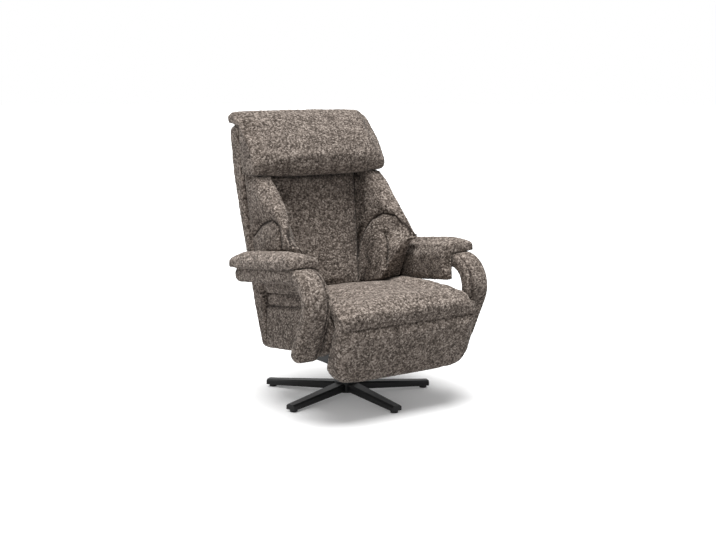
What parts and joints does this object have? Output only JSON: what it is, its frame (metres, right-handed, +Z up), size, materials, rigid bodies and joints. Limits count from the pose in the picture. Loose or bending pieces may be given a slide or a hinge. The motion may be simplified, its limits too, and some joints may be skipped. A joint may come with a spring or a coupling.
{
  "type": "recliner armchair",
  "caption": "Swivel relax recliner: padded seat, winged back with tilting headrest, open C-shaped arms, fold-out legrest, all on a low star base.",
  "frame": {"origin": "on the floor, below the middle of the chair's box", "axes": "+Z up from the floor, -Y to the front where the legrest is, +X to the sitter's left"},
  "size_m": [0.848, 0.8288, 1.1307],
  "materials": {
    "upholstery": "mottled looped pile",
    "black_steel": "matt black coating",
    "bright_steel": "zinc plated",
    "plywood": "raw",
    "webbing": "woven",
    "glide_plastic": "matt",
    "bush_plastic": "matt"
  },
  "bodies": {
    "base": {"star_base": "black_steel", "floor_glides": "glide_plastic", "base_column": "black_steel", "column_bushes": "bush_plastic"},
    "seat": {"swivel_spindle": "bright_steel", "spindle_retainer": "bright_steel", "carrier_plate": "black_steel", "carrier_bolts": "bright_steel", "cross_tube_front": "black_steel", "cross_tube_rear": "black_steel", "seat_rail_left": "black_steel", "seat_rail_right": "black_steel", "seat_board_left": "plywood", "seat_board_right": "plywood", "seat_board_front": "plywood", "seat_board_rear": "plywood", "box_spacers": "bright_steel", "seat_webbing": "webbing", "seat_cushion": "upholstery", "seat_side_panel_left": "upholstery", "seat_side_panel_right": "upholstery", "arm_loop_left": "upholstery", "arm_loop_right": "upholstery", "arm_bolts": "bright_steel", "arm_pad_left": "upholstery", "arm_pad_right": "upholstery", "gas_spring_cylinder": "black_steel", "gas_spring_bracket": "black_steel"},
    "spring_rod": {"gas_spring_rod": "bright_steel"},
    "back": {"back_plate_left": "black_steel", "back_plate_right": "black_steel", "recline_shaft": "bright_steel", "recline_crank": "black_steel", "crank_pin": "bright_steel", "back_shell": "upholstery", "back_centre_cushion": "upholstery", "back_wing_left": "upholstery", "back_wing_right": "upholstery"},
    "headrest": {"headrest_cushion": "upholstery", "headrest_bracket_left": "black_steel", "headrest_bracket_right": "black_steel", "headrest_pins": "bright_steel"},
    "legrest": {"legrest_cushion": "upholstery", "legrest_board": "plywood", "legrest_arm_left": "black_steel", "legrest_arm_right": "black_steel", "legrest_pins": "bright_steel"}
  },
  "joints": [
    {"name": "swivel", "type": "hinge", "parent": "base", "child": "seat", "pos_m": [0, 0.02, 0.2], "axis": [0, 0, 1], "continuous": true},
    {"name": "recline", "type": "hinge", "parent": "seat", "child": "back", "pos_m": [0, 0.147, 0.232], "axis": [-1, 0, 0], "range_deg": [0, 38]},
    {"name": "spring_stroke", "type": "slide", "parent": "seat", "child": "spring_rod", "axis": [0, -1, 0], "range_m": [0, 0.03266]},
    {"name": "headrest_tilt", "type": "hinge", "parent": "back", "child": "headrest", "pos_m": [0, 0.255, 0.897], "axis": [1, 0, 0], "range_deg": [0, 30]},
    {"name": "legrest_lift", "type": "hinge", "parent": "seat", "child": "legrest", "pos_m": [0, -0.375, 0.335], "axis": [-1, 0, 0], "range_deg": [0, 100]}
  ],
  "couplings": [
    {"joint": "spring_stroke", "follows": "recline", "m_per_rad": 0.049089}
  ]
}
